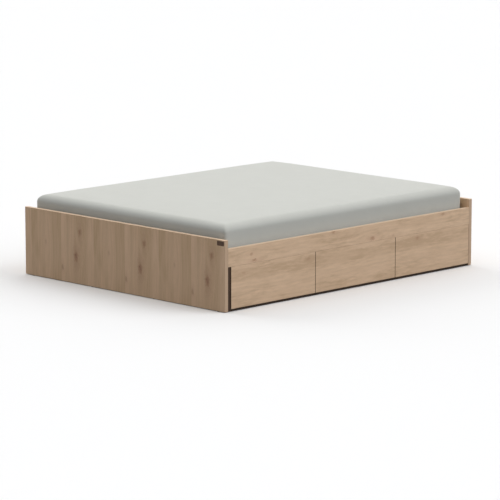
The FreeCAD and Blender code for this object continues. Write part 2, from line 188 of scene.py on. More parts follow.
class BedOak(bpy.types.PropertyGroup):
    """Colours and figure of the oak boards."""

    light: colour("Light staves", "palest staves on the upright boards", (0.912, 0.640, 0.440))
    dark: colour("Dark staves", "deepest staves on the upright boards", (0.654, 0.442, 0.264))
    lying_light: colour("Light lying staves", "palest lying staves", (0.914, 0.660, 0.460))
    lying_dark: colour("Dark lying staves", "deepest lying staves", (0.656, 0.458, 0.296))
    ring: colour("Knot ring", "wood round the heart of a knot", (0.50, 0.288, 0.182))
    heart: colour("Knot heart", "heart of a knot", (0.26, 0.145, 0.095))
    repeat: length("Sheet repeat", "Width after which the sheet on the upright boards repeats", 0.537)
    start: length("Sheet start", "Where a repeat begins on the upright boards", -0.512)
    # Set so that a dark stave falls on the corner of the head panel's inner face seen beside the mattress:
    # the sheet's own tone, placed as painted shade where the mattress shades the panel.
    head_shift: length("Head shift", "How much further along the sheet the head panel is cut", 0.29)
    height: length("Sheet height", "Height of the sheet on the lying boards", 0.4)
    ring_width: length("Ring width", "Spacing of the growth rings", 0.024)
    contrast: amount("Stave contrast", "How much the staves differ in tone", 0.62)
    mottle: amount("Mottle", "Strength of the short flecks on the upright boards", 0.7)
    flecks: amount("Flecks", "Strength of the short flecks on the lying boards", 1.4)
    hurry: amount("Fleck length", "How many times shorter the figure of the lying boards is", 1.5)
    relief: length("Relief", "Depth of the pressed grain", 0.0003)
    end_band: colour("End banding", "banding on the end edges", (0.599, 0.428, 0.301))
    top_band: colour("Top banding", "banding on the top edges", (0.716, 0.549, 0.400))
    lean: share("Banding", "How far the edges take the colour of their banding", 0.8)


class BedBoards(bpy.types.PropertyGroup):
    """Colours of the other boards."""

    # Also the colour of the ends of the lying oak boards, where it is painted shade: it darkens the gaps
    # between the drawer fronts.
    brown_light: colour("Brown, light", "light grain of the dark brown boards", (0.100, 0.059, 0.037))
    # Also the lighter grain of the base rail and the colour of the dividers' front edges, where it is painted
    # shade: under the drawers and in the gaps between the drawer fronts.
    brown_dark: colour("Brown, dark", "dark grain of the dark brown boards", (0.050, 0.029, 0.018))
    # Darker than the cheek's browns: painted shade on the base rail under the drawers, which is the same dark
    # brown board as the cheek.
    brown_low_painted_shade: colour("Low brown", "dark grain of the brown rail on the floor", (0.022, 0.013, 0.008))
    carcass: colour("Bay boards", "dividers and the back of the drawer bay", (0.66, 0.62, 0.55))
    drawer: colour("Drawer boards", "drawer sides, backs and bottoms", (0.70, 0.68, 0.63))
    slat_light: colour("Slats, light", "light grain of the slats", (0.80, 0.62, 0.42))
    slat_dark: colour("Slats, dark", "dark grain of the slats", (0.62, 0.44, 0.27))


class BedFittings(bpy.types.PropertyGroup):
    """Colours and sizes of the fittings."""

    zinc: colour("Zinc", "angles, brackets and runners", (0.60, 0.61, 0.63))
    screw: colour("Screw steel", "screws and cam locks", (0.48, 0.47, 0.45))
    leg: colour("Leg paint", "middle legs", (0.055, 0.057, 0.06))
    glide: colour("Glide plastic", "floor glides", (0.10, 0.095, 0.09))
    webbing: colour("Webbing", "slat tapes", (0.62, 0.60, 0.55))
    badge: colour("Plate", "blank plate", (0.145, 0.089, 0.061))
    head_sides: count("Head sides", "Facets round a screw head", 24, min=8)
    recess_reach: share("Recess reach", "Half length of the drive cross, against the head's radius", 0.56)
    recess_width: share("Recess width", "Width of the drive cross, against the head's radius", 0.24)
    recess_depth: share("Recess depth", "Depth of the drive cross, against the head's height", 0.55)
    cam_rim: share("Cam rim", "Width of a cam lock's rim, against its radius", 0.14)
    cam_sink: length("Cam sink", "How far a cam lock's face lies below its rim", 0.0006)
    glide_chamfer: length("Glide chamfer", "Slope round a glide's foot", 0.0016)
    staple_width: length("Staple width", "Width of the staples in the slat tapes", 0.011)
    staple_wire: length("Staple wire", "Radius of the staples' wire", 0.0005)
    tape_sag: length("Tape sag", "How far a slat tape hangs between two slats", 0.0008)
    tape_thread: length("Tape thread", "Spacing of the threads in the slat tapes", 0.0016)


class BedMattress(bpy.types.PropertyGroup):
    """Shape and cover of the mattress."""

    cover: colour("Cover", "cover", (0.575, 0.582, 0.545))
    roll_height: length("Roll height", "Height of the rolled top edge", 0.041)
    roll_inset: length("Roll inset", "Width of the rolled edges, seen from above", 0.050)
    under_roll: length("Under roll", "Height of the rolled bottom edge", 0.022)
    squareness: amount("Squareness", "How square the corners are in plan: 2 is round, more is squarer", 7.0)
    crown: length("Crown", "Rise of the top towards its middle before it swells", 0.003)
    draw_in: length("Draw in", "How far the sides pull in at half height", 0.003)
    trim: length("Trim", "How far the cover's sides stay inside the space kept for the mattress", 0.0015)
    slack: length("Slack", "How much smaller the cover starts before it swells", 0.003)
    limit: length("Limit", "The most that a point of the cover moves when it swells", 0.006)
    smoothing: count("Smoothing", "Rounds of evening out the swelling", 12, min=0)
    pressure: amount("Pressure", "Pressure of the filling on the cover", 4.0)
    step: length("Step", "Spacing of the cover's mesh on its flat parts", 0.034)
    roll_steps: count("Roll steps", "Mesh steps in half a rolled edge", 5, min=2)
    frames: count("Frames", "Steps of the cloth simulation", 20, min=2)
    thread: length("Thread pitch", "Spacing of the threads in the cover", 0.0022)


class BedStage(bpy.types.PropertyGroup):
    """Camera, light and floor."""

    camera_place: point("Camera place", "Where the camera stands", (11.930, -11.987, 3.114))
    turn: angle("Turn", "Azimuth of the camera", math.radians(44.87))
    lift: angle("Lift", "Elevation of the camera", math.radians(10.05))
    lens: amount("Lens", "Focal length in millimetres", 210.7)
    floor_half: length("Floor reach", "Half the width of the floor", 130.0)
    floor_seen: colour("Floor", "floor as the camera sees it", (0.912, 0.913, 0.917))
    floor_bounce: colour("Floor bounce", "light off the floor", (0.205, 0.22, 0.24))
    dome: amount("Dome", "Strength of the sky straight above", 0.987)
    key: amount("Key", "Strength of the key lamp", 0.40)
    key_from: direction("Key from", "Direction that the key lamp shines from", (0.676, 0.480, 0.559))
    left: amount("Left", "Strength of the lamp on the closed side", 0.352)
    left_from: direction("Left from", "Direction that the left lamp shines from", (-0.927, 0.0, 0.375))
    back: amount("Back", "Strength of the lamp behind the head end", 0.215)
    back_from: direction("Back from", "Direction that the back lamp shines from", (-0.463, 0.803, 0.375))
    spread: angle("Spread", "Angle that each lamp covers", math.radians(50.0))


# Node trees


class Wiring:
    """Short calls that build one node tree."""

    def __init__(self, tree):
        self.tree = tree

    def put(self, socket, value):
        """Link one output or a list of them to a socket, or set the socket's own value."""
        if isinstance(value, list):
            for output in value:
                self.put(socket, output)
        elif isinstance(value, bpy.types.NodeSocket):
            self.tree.links.new(value, socket)
        elif isinstance(value, (bpy.types.Material, str, bool, int, float)):
            socket.default_value = value
        else:
            room = len(socket.default_value)
            socket.default_value = (tuple(value) + (1.0,))[:room]

    def fill(self, sockets, values):
        """Put several values, each in the socket of its name or number."""
        for key, value in values.items():
            self.put(sockets[key], value)

    def node(self, kind, inputs=None, **settings):
        """A node with its settings and inputs."""
        made = self.tree.nodes.new(kind)
        for name, value in settings.items():
            setattr(made, name, value)
        self.fill(made.inputs, inputs or {})
        return made

    def out(self, kind, inputs, **settings):
        """The first output of a new node."""
        return self.node(kind, inputs, **settings).outputs[0]

    def math(self, operation, *values):
        """One step of arithmetic."""
        return self.out("ShaderNodeMath", dict(enumerate(values)), operation=operation)

    def chain(self, operation, first, *rest):
        """The same step of arithmetic over several values."""
        for value in rest:
            first = self.math(operation, first, value)
        return first

    total = partialmethod(chain, "ADD")
    minus = partialmethod(chain, "SUBTRACT")
    times = partialmethod(chain, "MULTIPLY")
    over = partialmethod(chain, "DIVIDE")
    most = partialmethod(chain, "MAXIMUM")

    def vector(self, operation, first, second):
        """One step of vector arithmetic."""
        return self.out("ShaderNodeVectorMath", {0: first, 1: second}, operation=operation)

    def parts(self, vector):
        """The three parts of a vector."""
        return self.node("ShaderNodeSeparateXYZ", {0: vector}).outputs

    def joined(self, x, y, z):
        """A vector from three parts."""
        return self.out("ShaderNodeCombineXYZ", {0: x, 1: y, 2: z})

    def noise(self, vector, stretch, detail):
        """Noise in space, with one count per metre for each axis."""
        place = self.vector("MULTIPLY", vector, stretch)
        inputs = {"Vector": place, "Scale": 1.0, "Detail": detail, "Roughness": NOISE_ROUGHNESS}
        return self.out("ShaderNodeTexNoise", inputs)

    def cloud(self, vector, size, detail):
        """Noise that is alike in all directions."""
        return self.noise(vector, (size, size, size), detail)

    def grain(self, vector, across, along, detail):
        """Noise that is drawn out along the grain."""
        return self.noise(vector, (across, along, across), detail)

    def swing(self, value, reach):
        """A 0 to 1 value turned into one that swings about zero."""
        return self.times(self.minus(value, MIDDLE), reach)

    def ease(self, value, low, high):
        """A smooth step from 0 at low to 1 at high."""
        inputs = {0: value, 1: low, 2: high, 3: 0.0, 4: 1.0}
        return self.out("ShaderNodeMapRange", inputs, interpolation_type="SMOOTHSTEP")

    def mix(self, factor, first, second, kind="RGBA"):
        """A colour or a vector between two others."""
        one, other, result = MIX_SOCKETS[kind]
        made = self.node("ShaderNodeMix", {0: factor, one: first, other: second}, data_type=kind)
        return made.outputs[result]

    def shades(self, tone, base, low, high):
        """A colour that a tone takes from a darker to a lighter shade of itself."""
        darker, lighter = (tuple(min(part * level, 1.0) for part in base) for level in (low, high))
        return self.mix(tone, darker, lighter)

    def tones(self, place, stops):
        """A grey value read from given stops."""
        made = self.node("ShaderNodeValToRGB", {0: place})
        ramp = made.color_ramp
        ramp.interpolation = "EASE"
        while len(ramp.elements) < len(stops):
            ramp.elements.new(MIDDLE)
        for element, (at, tone) in zip(ramp.elements, stops):
            element.position = at
            element.color = (tone, tone, tone, 1.0)
        return made.outputs[0]

    def use(self, name, inputs):
        """The outputs of a shader group, which is built the first time that a material uses it."""
        if name not in bpy.data.node_groups:
            build, sockets, outputs = SHADER_GROUPS[name]
            build(*new_tree(name, "ShaderNodeTree", sockets, outputs))
        return self.node("ShaderNodeGroup", inputs, node_tree=bpy.data.node_groups[name]).outputs

    def bump(self, height, distance, strength):
        """A normal from a height."""
        return self.out("ShaderNodeBump", {"Height": height, "Distance": distance, "Strength": strength})


def socket_kind(default):
    """The kind of socket that a default fits: a shape, a vector, a colour or a number."""
    if default is SHAPE:
        return "NodeSocketGeometry"
    if isinstance(default, tuple):
        return "NodeSocketVector" if len(default) == len(PLACE) else "NodeSocketColor"
    return "NodeSocketInt" if isinstance(default, int) else "NodeSocketFloat"


def new_tree(name, kind, inputs, outputs):
    """A node tree with named sockets: its wiring, its inputs and its outputs."""
    tree = bpy.data.node_groups.new(name, kind)
    for way, sockets in (("INPUT", inputs), ("OUTPUT", outputs)):
        for label, default in sockets.items():
            made = tree.interface.new_socket(label, in_out=way, socket_type=socket_kind(default))
            if default is not SHAPE:
                made.default_value = default
    wires = Wiring(tree)
    return wires, wires.node("NodeGroupInput").outputs, wires.node("NodeGroupOutput").inputs


def build_knot(wires, given, result):
    """Bends the grain round one knot, and marks its ring and heart."""
    at = wires.parts(given["Grain"])
    across = wires.minus(at[0], given["Across"])
    along = wires.minus(at[1], given["Along"])
    ragged = wires.swing(wires.grain(given["Grain"], across=130.0, along=55.0, detail=3.0), reach=1.5)
    side = wires.math("POWER", wires.over(across, given["Radius"]), 2.0)

    def reach(stretch):
        """How far out a place lies, in radii of a round that is stretched along the grain."""
        end = wires.math("POWER", wires.over(along, wires.times(given["Radius"], stretch)), 2.0)
        return wires.total(wires.math("SQRT", wires.total(side, end)), ragged)

    heart = reach(stretch=1.6)
    eye = reach(stretch=3.4)
    pull = wires.times(wires.ease(eye, low=4.0, high=0.4), KNOT_PULL)
    halo = wires.times(wires.ease(eye, low=2.2, high=0.2), KNOT_HALO)
    mark = wires.most(wires.ease(heart, low=1.5, high=0.0), halo)
    bent = wires.minus(at[0], wires.times(across, pull))
    wires.put(result["Grain"], wires.joined(bent, at[1], at[2]))
    wires.put(result["Knot"], wires.most(given["Knot"], wires.times(mark, given["Strength"])))


def build_wood(wires, given, result):
    """Wood figure in grain space: X across the grain, Y along it."""
    grain = given["Grain"]
    drift = wires.grain(grain, across=4.5, along=0.9, detail=2.0)
    broad = wires.grain(grain, across=16.0, along=2.6, detail=3.0)
    patch = wires.ease(wires.grain(grain, across=11.0, along=2.2, detail=2.0), low=0.40, high=0.66)
    bent = wires.vector("ADD", grain, wires.joined(wires.swing(drift, reach=0.05), 0.0, 0.0))
    mottle = wires.grain(bent, across=78.0, along=9.0, detail=4.0)
    streak = wires.grain(bent, across=95.0, along=4.0, detail=5.0)
    fine = wires.grain(bent, across=520.0, along=12.0, detail=3.0)
    pores = wires.ease(wires.grain(bent, across=1500.0, along=40.0, detail=1.0), low=0.56, high=0.72)
    rings = wires.over(wires.parts(bent)[0], given["Ring Width"])
    turn = wires.times(wires.total(rings, wires.swing(broad, reach=2.2)), math.tau)
    tone = wires.total(
        given["Stave"],
        wires.swing(streak, reach=0.55),
        wires.times(wires.swing(mottle, given["Mottle"]), wires.total(FLECKS_BETWEEN_PATCHES, patch)),
        wires.times(patch, given["Mottle"], PATCH_TONE),
        wires.swing(fine, reach=0.34),
        wires.swing(broad, reach=0.45),
        wires.times(wires.math("SINE", turn), RING_TONE),
        wires.times(pores, PORE_TONE),
    )
    plain = wires.mix(tone, given["Light"], given["Dark"])
    ringed = wires.mix(wires.ease(given["Knot"], low=0.0, high=0.75), plain, given["Ring"])
    knotted = wires.mix(wires.ease(given["Knot"], low=0.7, high=1.0), ringed, given["Heart"])
    rough = wires.total(WOOD_ROUGHNESS, wires.swing(fine, reach=0.22), wires.swing(streak, reach=0.12))
    pressed = wires.total(wires.swing(fine, reach=1.0), wires.swing(streak, reach=0.6))
    height = wires.total(pressed, wires.times(pores, PORE_HEIGHT))
    wires.fill(result, {"Color": knotted, "Roughness": rough, "Height": height})


def build_weave(wires, given, result):
    """Plain weave on every side of a piece, with fluff and a little unevenness."""
    turns = wires.over(math.tau, given["Pitch"])
    waves = [wires.math("SINE", wires.times(part, turns)) for part in wires.parts(given["Position"])]
    pairs = [wires.times(waves[one], waves[other]) for one, other in ((X, Y), (Y, Z), (Z, X))]
    weave = wires.times(wires.total(*pairs), THREAD_HEIGHT)
    fluff = wires.cloud(given["Position"], size=700.0, detail=3.0)
    broad = wires.cloud(given["Position"], size=11.0, detail=3.0)
    threads = wires.total(MIDDLE, wires.times(weave, THREAD_TONE))
    shade = wires.total(threads, wires.swing(fluff, reach=0.8), wires.swing(broad, reach=0.4))
    wires.fill(result, {"Height": wires.total(weave, wires.swing(fluff, reach=1.6)), "Shade": shade})


def build_linen(wires, given, result):
    """Printed linen: fine threads along each axis of the board."""
    threads = []
    for axis in (X, Y, Z):
        stretch = [LINEN_ACROSS] * 3
        stretch[axis] = LINEN_ALONG
        thread = wires.noise(given["Position"], tuple(stretch), detail=2.0)
        threads.append(wires.swing(thread, reach=1.1))
    print_tone = wires.total(*threads)
    cloudy = wires.swing(wires.cloud(given["Position"], size=6.0, detail=2.0), reach=0.4)
    wires.fill(result, {"Shade": wires.total(MIDDLE, print_tone, cloudy), "Height": print_tone})


def build_skin(wires, given, result):
    """Fine uneven skin of plastic, paint and plated steel."""
    at = wires.vector("MULTIPLY", given["Position"], given["Stretch"])
    coarse = wires.cloud(at, size=90.0, detail=3.0)
    fine = wires.cloud(at, size=900.0, detail=2.0)
    # Each output's middle, and how far the coarse and the fine noise swing it.
    reaches = {
        "Shade": (MIDDLE, 1.2, 0.5),
        "Roughness": (given["Roughness"], 0.3, 0.12),
        "Height": (0.0, 0.5, 1.0),
    }
    for label, (middle, coarse_reach, fine_reach) in reaches.items():
        uneven = wires.total(wires.swing(coarse, coarse_reach), wires.swing(fine, fine_reach))
        wires.put(result[label], wires.total(middle, uneven))


SHADER_GROUPS = {
    "oak_knot": (
        build_knot,
        {"Grain": PLACE, "Across": 0.0, "Along": 0.0, "Radius": 0.01, "Strength": 1.0, "Knot": 0.0},
        {"Grain": PLACE, "Knot": 0.0},
    ),
    "wood_figure": (
        build_wood,
        {
            "Grain": PLACE, "Stave": 0.5, "Knot": 0.0, "Ring Width": 0.02, "Mottle": 0.4,
            "Light": WHITE, "Dark": WHITE, "Ring": WHITE, "Heart": WHITE,
        },
        {"Color": WHITE, "Roughness": 0.5, "Height": 0.0},
    ),
    "cloth_weave": (build_weave, {"Position": PLACE, "Pitch": 0.002}, {"Height": 0.0, "Shade": 0.5}),
    "linen_print": (build_linen, {"Position": PLACE}, {"Shade": 0.5, "Height": 0.0}),
    "fine_skin": (
        build_skin,
        {"Position": PLACE, "Stretch": EVEN, "Roughness": 0.5},
        {"Shade": 0.5, "Roughness": 0.5, "Height": 0.0},
    ),
}


# Materials


def new_material(name):
    """A new material: itself, its wiring, its shader's inputs and the place on the piece."""
    material = bpy.data.materials.new(name)
    material.use_nodes = True
    wires = Wiring(material.node_tree)
    place = wires.node("ShaderNodeTexCoord").outputs
    return material, wires, material.node_tree.nodes["Principled BSDF"].inputs, place


def facing(wires, place):
    """How squarely a face looks along each axis, either way."""
    return [wires.math("ABSOLUTE", part) for part in wires.parts(place["Normal"])]


def edged(wires, shade, look, band, lean=1.0, turn=EDGE_TURN):
    """A finish that leans to another colour on the edges that look along one axis."""
    return wires.mix(wires.times(wires.ease(look, *turn), lean), shade, band)


def wood_finish(wires, shader, figure, shade, relief):
    """Join a wood figure to a shader."""
    wires.fill(shader, {
        "Base Color": shade,
        "Roughness": figure["Roughness"],
        "Normal": wires.bump(figure["Height"], relief, strength=0.5),
        "Specular IOR Level": WOOD_GLOSS,
    })


def with_knots(wires, grain, knots):
    """Grain bent round every knot, and the mask of their hearts."""
    mask = 0.0
    for across, along, radius, strength in knots:
        inputs = {"Across": across, "Along": along, "Radius": radius, "Strength": strength}
        out = wires.use("oak_knot", {"Grain": grain, "Knot": mask, **inputs})
        grain, mask = out["Grain"], out["Knot"]
    return grain, mask


def stave_tone(wires, oak, grain, wavy, period, stops):
    """Tone of the stave at each place of a sheet, whose staves wander a little."""
    sheet = wires.tones(wires.over(wires.total(wires.parts(grain)[0], wavy), period), stops)
    return wires.total(wires.swing(sheet, oak.contrast), MIDDLE)


def finish_oak(wires, shader, oak, inputs, top, **end):
    """Join the oak figure to a shader, with banding on the top edges and a colour on the ends: banding on
    upright boards, painted shade for the gaps on lying ones.
    """
    shared = {"Ring Width": oak.ring_width, "Ring": oak.ring, "Heart": oak.heart}
    figure = wires.use("wood_figure", {**inputs, **shared})
    shade = edged(wires, figure["Color"], top, oak.top_band, oak.lean)
    wood_finish(wires, shader, figure, edged(wires, shade, **end), oak.relief)


def oak_upright(oak):
    """Oak board with standing grain; the banding on its top and ends runs along the edge."""
    material, wires, shader, place = new_material("oak_upright")
    at = wires.parts(place["Object"])
    looks = facing(wires, place)
    # The head panel's shift puts a dark stave where the mattress shades its inner face: painted shade.
    head = wires.times(wires.math("GREATER_THAN", at[Y], 0.0), oak.head_shift)
    from_start = wires.minus(wires.total(at[X], head), oak.start)
    along_sheet = wires.math("WRAP", from_start, oak.repeat, 0.0)
    grain, mask = with_knots(wires, wires.joined(along_sheet, at[Z], at[Y]), UPRIGHT_KNOTS)
    wavy = wires.swing(wires.grain(grain, across=3.0, along=3.5, detail=2.0), reach=0.02)
    stave = stave_tone(wires, oak, grain, wavy, oak.repeat, UPRIGHT_STAVES)
    face = wires.joined(wires.total(wires.parts(grain)[0], at[Y]), at[Z], at[Y])
    edge = wires.joined(at[Y], at[X], at[Z])
    top = wires.ease(looks[Z], *EDGE_TURN)
    inputs = {
        "Grain": wires.mix(top, face, edge, kind="VECTOR"), "Stave": stave, "Knot": mask,
        "Mottle": oak.mottle, "Light": oak.light, "Dark": oak.dark,
    }
    finish_oak(wires, shader, oak, inputs, looks[Z], look=looks[X], band=oak.end_band, lean=oak.lean)
    return material


def oak_lying(oak, band):
    """Oak board with lying grain, one sheet over the rail and the drawer fronts; its ends take a dark colour
    as painted shade in the gaps at the ends of the fronts.
    """
    material, wires, shader, place = new_material("oak_lengthwise")
    at = wires.parts(place["Object"])
    looks = facing(wires, place)
    grain, mask = with_knots(wires, wires.joined(at[Z], at[Y], at[X]), LYING_KNOTS)
    wavy = wires.swing(wires.grain(grain, across=3.0, along=1.4, detail=2.0), reach=0.03)
    stave = stave_tone(wires, oak, grain, wavy, oak.height, LYING_STAVES)
    along = wires.times(at[Y], oak.hurry)
    lying = wires.joined(wires.total(wires.parts(grain)[0], at[X]), along, at[X])
    inputs = {
        "Grain": lying, "Stave": stave, "Knot": mask,
        "Mottle": oak.flecks, "Light": oak.lying_light, "Dark": oak.lying_dark,
    }
    # The ends take the dark colour given: painted shade in the gaps at the ends of the drawer fronts.
    finish_oak(wires, shader, oak, inputs, looks[Z], look=looks[Y], band=band, turn=LYING_END_TURN)
    return material


def plain_wood(name, light, dark, order, relief):
    """Wood without knots; order gives the axes across the grain, along it and through it."""
    material, wires, shader, place = new_material(name)
    at = wires.parts(place["Object"])
    across, along, through = (at[axis] for axis in order)
    grain = wires.joined(wires.total(across, through), along, through)
    stave = wires.grain(grain, across=13.0, along=0.3, detail=1.0)
    inputs = {"Grain": grain, "Stave": stave, "Ring Width": PLAIN_RING, "Light": light, "Dark": dark}
    figure = wires.use("wood_figure", inputs)
    wood_finish(wires, shader, figure, figure["Color"], relief)
    return material


def linen_board(name, base, band=None):
    """Coated inner board with a linen print, and with a colour on its front edge if one is given, which on
    the dividers is painted shade in the gaps between the drawer fronts.
    """
    material, wires, shader, place = new_material(name)
    linen = wires.use("linen_print", {"Position": place["Object"]})
    shade = wires.shades(linen["Shade"], base, low=0.86, high=1.08)
    if band:
        printed = wires.shades(linen["Shade"], band, low=0.8, high=1.2)
        shade = edged(wires, shade, wires.parts(place["Normal"])[X], printed)
    wires.fill(shader, {
        "Base Color": shade,
        "Roughness": wires.total(MIDDLE, wires.swing(linen["Shade"], reach=0.2)),
        "Normal": wires.bump(linen["Height"], distance=0.0001, strength=0.4),
        "Specular IOR Level": BOARD_GLOSS,
    })
    return material


def skinned(name, base, metallic, roughness, spread, stretch=EVEN, gloss=0.5):
    """Plastic, paint or plated steel; spread is how much its colour varies."""
    material, wires, shader, place = new_material(name)
    inputs = {"Position": place["Object"], "Stretch": stretch, "Roughness": roughness}
    skin = wires.use("fine_skin", inputs)
    wires.fill(shader, {
        "Base Color": wires.shades(skin["Shade"], base, low=1 - spread, high=1 + spread),
        "Roughness": skin["Roughness"],
        "Normal": wires.bump(skin["Height"], distance=0.00012, strength=0.35),
        "Metallic": metallic,
        "Specular IOR Level": gloss,
    })
    return material


def woven(name, base, pitch, roughness, sheen):
    """Woven cloth."""
    material, wires, shader, place = new_material(name)
    weave = wires.use("cloth_weave", {"Position": place["Object"], "Pitch": pitch})
    wires.fill(shader, {
        "Base Color": wires.shades(weave["Shade"], base, low=0.93, high=1.06),
        "Roughness": roughness,
        "Normal": wires.bump(weave["Height"], distance=0.0004, strength=0.35),
        "Sheen Weight": sheen,
        "Specular IOR Level": CLOTH_GLOSS,
    })
    return material


def dress(material, *nodes):
    """Give CAD nodes their material."""
    for name in nodes:
        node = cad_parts[name]
        if not node.material_slots:
            node.data.materials.append(material)
        for slot in node.material_slots:
            slot.material = material


# Shapes


def link(name, data):
    """A new object in the scene."""
    made = bpy.data.objects.new(name, data)
    bpy.context.scene.collection.objects.link(made)
    return made


def solids_of(name):
    """The separate solids of a CAD node, each as an array of its points."""
    welded = bmesh.new()
    welded.from_mesh(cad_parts[name].data)
    bmesh.ops.remove_doubles(welded, verts=welded.verts, dist=SAME_CORNER)
    waiting = set(welded.verts)
    found = []
    while waiting:
        group = [waiting.pop()]
        for vert in group:
            for edge in vert.link_edges:
                other = edge.other_vert(vert)
                if other in waiting:
                    waiting.remove(other)
                    group.append(other)
        found.append(np.array([vert.co[:] for vert in group]))
    welded.free()
    return sorted(found, key=lambda points: tuple(points.mean(0).round(4)))


def round_axis(points):
    """The axis of a round solid: the side that differs from the other two."""
    size = np.ptp(points, axis=0)
    return int(np.argmin([abs(size[Y] - size[Z]), abs(size[Z] - size[X]), abs(size[X] - size[Y])]))


def middle_of(points):
    """The middle of a solid's box."""
    return (points.min(0) + points.max(0)) / 2


def unit(axis, size):
    """A vector along one axis."""
    made = np.zeros(3)
    made[axis] = size
    return made


def columns(rows, *labels):
    """Rows of values as one named column for each value."""
    return dict(zip(labels, zip(*rows)))


def screw_places(nodes):
    """Seat, outward direction, head and shank of each screw in some CAD nodes."""
    rows = []
    for points in [solid for name in nodes for solid in solids_of(name)]:
        axis = round_axis(points)
        along = points[:, axis]
        middle = middle_of(points)
        wide = np.linalg.norm(np.delete(points - middle, axis, axis=1), axis=1)
        radius = wide.max()
        head = along[wide > radius * HEAD_RIM]
        height = np.ptp(head)
        seat = middle.copy()
        if head.max() > middle[axis]:
            outward, seat[axis], tip = unit(axis, 1), head.min(), along.min()
        else:
            outward, seat[axis], tip = unit(axis, -1), head.max(), along.max()
        shank = wide[np.abs(along - tip) < SAME_FACE].max()
        rows.append((seat, outward, (radius, radius, height), (shank, shank, np.ptp(along) - height)))
    return columns(rows, "place", "outward", "head", "shank")


def cam_places(drawer):
    """Face and inward direction of each cam lock of a drawer, and the bolt that each one holds."""
    low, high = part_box(f"{drawer}_bottom")
    cams, bolts = [], []
    for points in solids_of(f"{drawer}_cam_locks"):
        size = np.ptp(points, axis=0)
        half = size / 2
        middle = middle_of(points)
        if round_axis(points) == Y:
            inward = unit(Y, 1 if middle[Y] < (low.y + high.y) / 2 else -1)
            cams.append((middle + inward * half[Y], inward, (half[X], half[X], size[Y])))
        else:
            bolts.append((middle - unit(X, half[X]), unit(X, -1), (half[Y], half[Y], size[X])))
    return [columns(rows, "place", "outward", "size") for rows in (cams, bolts)]


def slat_rows():
    """Start and end of each slat along the bed."""
    return [(points[:, Y].min(), points[:, Y].max()) for points in solids_of("slats_right")]


def grow(name, tree, places, sizes):
    """Run a Geometry Nodes tree on a set of places, and keep the result as a plain mesh."""
    mesh = bpy.data.meshes.new(f"{name}_places")
    mesh.from_pydata([tuple(place) for place in places["place"]], [], [])
    for label, values in places.items():
        if label != "place":
            attribute = mesh.attributes.new(label, "FLOAT_VECTOR", "POINT")
            attribute.data.foreach_set("vector", np.array(values, dtype=np.float32).ravel())
    carrier = link(f"{name}_places", mesh)
    growth = carrier.modifiers.new("Grow", "NODES")
    growth.node_group = tree
    for item in tree.interface.items_tree:
        if item.item_type == "SOCKET" and item.in_out == "INPUT" and item.name in sizes:
            growth[item.identifier] = sizes[item.name]
    settled = carrier.evaluated_get(bpy.context.evaluated_depsgraph_get())
    grown = bpy.data.meshes.new_from_object(settled)
    bpy.data.objects.remove(carrier)
    bpy.data.meshes.remove(mesh)
    if not grown.polygons:
        raise RuntimeError(f"{name}: the node tree made nothing")
    grown.name = name
    return link(name, grown)


def fitting_tree(name, inputs):
    """A tree that sets fittings on places: its wiring, its inputs and its output."""
    return new_tree(name, "GeometryNodeTree", {"Places": SHAPE, **inputs}, {"Fittings": SHAPE})


def stored(wires, label):
    """A vector stored on the places."""
    made = wires.node("GeometryNodeInputNamedAttribute", {"Name": label}, data_type="FLOAT_VECTOR")
    return next(out for out in made.outputs if out.enabled and out.name == "Attribute")


def placed(wires, places, shape, size):
    """A shape set on every place, turned outward and scaled by a stored size."""
    turn = wires.out("FunctionNodeAlignRotationToVector", {"Vector": stored(wires, "outward")}, axis="Z")
    inputs = {"Points": places, "Instance": shape, "Rotation": turn, "Scale": stored(wires, size)}
    return wires.out("GeometryNodeInstanceOnPoints", inputs)


def moved(wires, shape, x=0.0, z=0.0):
    """A shape moved sideways and upward."""
    return wires.out("GeometryNodeTransform", {"Geometry": shape, "Translation": wires.joined(x, 0.0, z)})


def cut(wires, shape, tools):
    """A shape with others taken away from it."""
    inputs = {"Mesh 1": shape, "Mesh 2": tools}
    return wires.out("GeometryNodeMeshBoolean", inputs, operation="DIFFERENCE", solver="EXACT")


def merged(wires, shapes):
    """Shapes merged into one closed shape."""
    return wires.out("GeometryNodeMeshBoolean", {"Mesh 2": shapes}, operation="UNION", solver="EXACT")


def cube(wires, x, y, z):
    """A box about the origin."""
    return wires.out("GeometryNodeMeshCube", {"Size": wires.joined(x, y, z)})


def turned(wires, sides, bottom, top, start, end):
    """An upright part between two heights, with one radius at its bottom and one at its top."""
    inputs = {"Vertices": sides, "Radius Bottom": bottom, "Radius Top": top, "Depth": wires.minus(end, start)}
    return moved(wires, wires.out("GeometryNodeMeshCone", inputs), z=start)


def bar(wires, sides, radius, start, end):
    """An upright round bar between two heights."""
    return turned(wires, sides, radius, radius, start, end)


def cross(wires, given, depth, face=0.0):
    """The two bars of a drive cross that is cut down from the height of a face."""
    reach = wires.times(given["Recess Reach"], 2.0)
    width = given["Recess Width"]
    tall = wires.times(depth, 2.0)
    return [moved(wires, cube(wires, x, y, tall), z=face) for x, y in ((reach, width), (width, reach))]


def finish_tree(wires, result, shapes, material):
    """Join the shapes, make them real and give them a material."""
    join = wires.out("GeometryNodeJoinGeometry", {0: shapes})
    real = wires.out("GeometryNodeRealizeInstances", {0: join})
    wires.put(result[0], wires.out("GeometryNodeSetMaterial", {"Geometry": real, "Material": material}))
    return wires.tree


